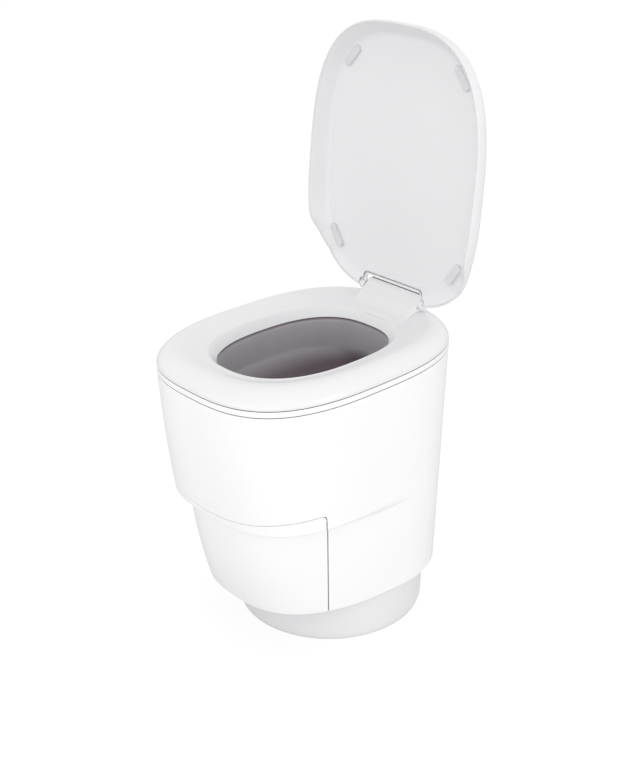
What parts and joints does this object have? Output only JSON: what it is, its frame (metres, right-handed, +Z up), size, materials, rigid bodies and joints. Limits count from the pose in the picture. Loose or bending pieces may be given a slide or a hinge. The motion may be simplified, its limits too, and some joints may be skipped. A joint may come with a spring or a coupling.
{
  "type": "waterless sealing toilet",
  "caption": "Waterless toilet with a rounded oblong casing on a round swivel pedestal, hinged seat and lid, a film liner sealed by closing jaws, and a waste drawer.",
  "frame": {"origin": "centre of the pedestal on the floor, at the centre of the floor bolt circle", "axes": "+Z up, -Y towards the front, +X to the side that shows on the right of the picture"},
  "size_m": [0.386, 0.5027, 1.0027],
  "materials": {
    "casing_white": "satin white moulded casing",
    "seat_white": "satin white seat moulding",
    "lid_white": "satin white lid moulding",
    "pedestal_white": "fine matt white pedestal moulding",
    "bumper_grey": "soft pale grey rubber",
    "rubber_dark": "dark rubber",
    "glide_plastic": "natural bearing plastic",
    "frame_steel": "grey coated sheet steel",
    "bright_steel": "ground steel",
    "screw_steel": "zinc plated screws",
    "cassette_grey": "grey moulded cassette",
    "film_mauve": "grey-mauve barrier film with a soft sheen",
    "funnel_grey": "grey moulded funnel",
    "jaw_dark": "dark anodised jaw",
    "strip_brown": "woven release tape over the heating strip",
    "pad_red": "silicone rubber",
    "belt_black": "black toothed belt",
    "motor_steel": "plated motor can",
    "gear_cream": "cream acetal",
    "board_green": "green circuit board",
    "gland_dark": "dark polyamide",
    "bin_grey": "grey moulded bin",
    "key_grey": "pale grey key"
  },
  "bodies": {
    "pedestal": {"pedestal_foot": "pedestal_white", "foot_rubber_ring": "rubber_dark", "glide_ring": "glide_plastic"},
    "cabinet": {"chassis_plate": "frame_steel", "swivel_retainer": "frame_steel", "swivel_screws": "screw_steel", "body_shell": "casing_white", "left_side_frame": "frame_steel", "right_side_frame": "frame_steel", "frame_screws": "screw_steel", "seat_band": "casing_white", "seat_hinge_pins": "bright_steel", "liner_cassette": "cassette_grey", "film_pack": "film_mauve", "liner_film": "film_mauve", "film_funnel": "funnel_grey", "sealing_frame": "frame_steel", "guide_rods": "bright_steel", "drive_belt": "belt_black", "seal_motor": "motor_steel", "roller_motor": "motor_steel", "control_board": "board_green", "cable_gland": "gland_dark", "drawer_rails": "frame_steel", "drawer_catch": "gland_dark"},
    "left_jaw_bar": {"left_jaw": "jaw_dark", "heat_strip": "strip_brown"},
    "right_jaw_bar": {"right_jaw": "jaw_dark", "press_pad": "pad_red"},
    "front_screw": {"front_lead_screw": "bright_steel", "front_pulley": "gland_dark"},
    "rear_screw": {"rear_lead_screw": "bright_steel", "rear_pulley": "gland_dark"},
    "left_film_roller": {"left_roller": "rubber_dark", "left_roller_gear": "gear_cream"},
    "right_film_roller": {"right_roller": "rubber_dark", "right_roller_gear": "gear_cream"},
    "drawer": {"drawer_front": "casing_white", "drawer_tray": "bin_grey", "waste_bin": "bin_grey", "drawer_slides": "bright_steel", "catch_striker": "bright_steel"},
    "seat_lift": {"seat": "seat_white", "seat_buffers": "bumper_grey", "button_switch": "gland_dark"},
    "button": {"start_button": "key_grey"},
    "lid": {"lid_shell": "lid_white", "lid_liner": "lid_white", "lid_bumpers": "bumper_grey", "lid_hinge_pins": "bright_steel"}
  },
  "joints": [
    {"name": "swivel", "type": "hinge", "parent": "pedestal", "child": "cabinet", "pos_m": [0, 0, 0.08], "axis": [0, 0, 1], "range_deg": [-90, 90]},
    {"name": "seat_hinge", "type": "hinge", "parent": "cabinet", "child": "seat_lift", "pos_m": [0, 0.2, 0.5056], "axis": [-1, 0, 0], "range_deg": [0, 75]},
    {"name": "lid_hinge", "type": "hinge", "parent": "seat_lift", "child": "lid", "pos_m": [0, 0.1543, 0.5462], "axis": [1, 0, 0], "range_deg": [0, 94]},
    {"name": "start_key", "type": "slide", "parent": "seat_lift", "child": "button", "axis": [0, 0.6691, -0.7431], "range_m": [0, 0.0015], "stiffness_N_per_m": 400},
    {"name": "drawer_slide", "type": "slide", "parent": "cabinet", "child": "drawer", "axis": [0, -1, 0], "range_m": [0, 0.24]},
    {"name": "rear_screw_turn", "type": "hinge", "parent": "cabinet", "child": "rear_screw", "pos_m": [0, 0.134, 0.345], "axis": [1, 0, 0], "range_deg": [0, 2610]},
    {"name": "front_screw_turn", "type": "hinge", "parent": "cabinet", "child": "front_screw", "pos_m": [0, -0.245, 0.345], "axis": [1, 0, 0], "range_deg": [0, 2610]},
    {"name": "left_jaw_slide", "type": "slide", "parent": "cabinet", "child": "left_jaw_bar", "axis": [1, 0, 0], "range_m": [0, 0.029]},
    {"name": "right_jaw_slide", "type": "slide", "parent": "cabinet", "child": "right_jaw_bar", "axis": [-1, 0, 0], "range_m": [0, 0.029]},
    {"name": "left_roller_turn", "type": "hinge", "parent": "cabinet", "child": "left_film_roller", "pos_m": [-0.0115, 0, 0.296], "axis": [0, 1, 0], "continuous": true},
    {"name": "right_roller_turn", "type": "hinge", "parent": "cabinet", "child": "right_film_roller", "pos_m": [0.0115, 0, 0.296], "axis": [0, 1, 0], "continuous": true}
  ],
  "couplings": [
    {"joint": "right_jaw_slide", "follows": "left_jaw_slide", "ratio": 1},
    {"joint": "rear_screw_turn", "follows": "left_jaw_slide", "rad_per_m": 1570.6},
    {"joint": "front_screw_turn", "follows": "left_jaw_slide", "rad_per_m": 1570.6},
    {"joint": "right_roller_turn", "follows": "left_roller_turn", "ratio": -1}
  ]
}
